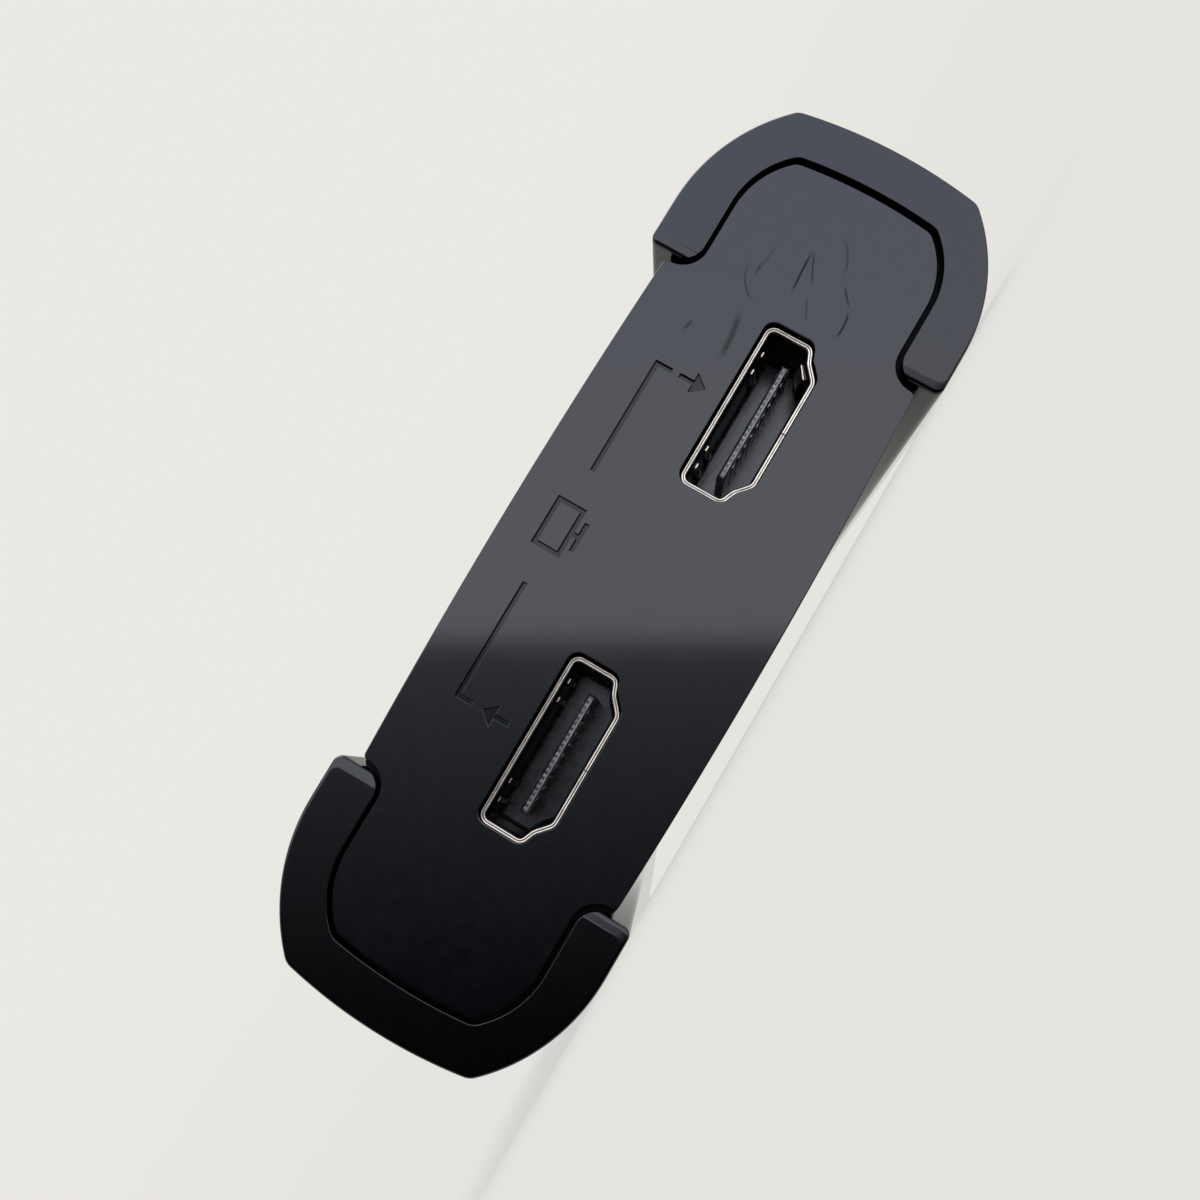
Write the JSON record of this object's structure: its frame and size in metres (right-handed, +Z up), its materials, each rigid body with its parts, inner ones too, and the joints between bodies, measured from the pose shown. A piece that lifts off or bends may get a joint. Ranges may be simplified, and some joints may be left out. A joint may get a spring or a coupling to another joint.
{
  "type": "video capture box",
  "caption": "Flat video capture box with matte rail bumpers round both ends, video sockets in the port panel, data port and sound jack at the rear, and a sprung record button.",
  "frame": {"origin": "on the floor, below the middle of the box as it lies flat on its bumpers", "axes": "+X along the port panel toward the input socket, +Y from the port panel to the rear panel, +Z up"},
  "size_m": [0.082, 0.115, 0.027],
  "materials": {
    "gloss_case": "polished black moulding",
    "satin_panel": "satin dark grey moulding",
    "matte_bumper": "fine grained matte black moulding",
    "steel_screw": "plain steel",
    "green_board": "solder mask over glass laminate",
    "plated_shell": "nickel plated sheet",
    "black_insulator": "black moulded insulator",
    "plated_contact": "plated contact metal",
    "chip_black": "moulded chip package",
    "soft_pad": "soft heat conducting pad",
    "sink_metal": "dark anodised",
    "can_metal": "bare can",
    "ceramic_tan": "small ceramic parts",
    "ivory_plastic": "ivory moulding and ribbon",
    "gloss_button": "polished black key",
    "clear_ring": "milky light guide",
    "light_yellow": "small light emitters"
  },
  "bodies": {
    "case": {"top_cover": "gloss_case", "bottom_cover": "gloss_case", "front_panel": "satin_panel", "rear_panel": "satin_panel", "left_bumper": "matte_bumper", "right_bumper": "matte_bumper", "case_screws": "steel_screw", "main_board": "green_board", "board_screws": "steel_screw", "video_in_shell": "plated_shell", "video_in_core": "black_insulator", "video_in_contacts": "plated_contact", "video_out_shell": "plated_shell", "video_out_core": "black_insulator", "video_out_contacts": "plated_contact", "data_port_shell": "plated_shell", "data_port_core": "black_insulator", "data_port_contacts": "plated_contact", "audio_jack_body": "black_insulator", "audio_jack_contacts": "plated_contact", "encoder_chip": "chip_black", "thermal_pad": "soft_pad", "heat_sink": "sink_metal", "receiver_chip": "chip_black", "transmitter_chip": "chip_black", "memory_chips": "chip_black", "flash_chip": "chip_black", "sound_chip": "chip_black", "clock_crystals": "can_metal", "power_coils": "chip_black", "power_regulators": "chip_black", "bulk_capacitors": "can_metal", "small_capacitors": "ceramic_tan", "small_resistors": "chip_black", "surge_arrays": "chip_black", "ribbon_socket_lower": "ivory_plastic", "ribbon_socket_upper": "ivory_plastic", "flat_ribbon": "ivory_plastic", "button_board": "green_board", "button_board_screws": "steel_screw", "switch_base": "black_insulator", "switch_dome": "can_metal", "light_ring": "clear_ring", "ring_lights": "light_yellow"},
    "button": {"record_button": "gloss_button", "switch_plunger": "ivory_plastic"}
  },
  "joints": [
    {"name": "record_button_press", "type": "slide", "parent": "case", "child": "button", "axis": [0, 0, -1], "range_m": [0, 0.00035], "stiffness_N_per_m": 4500, "deforming": ["switch_dome"]}
  ]
}
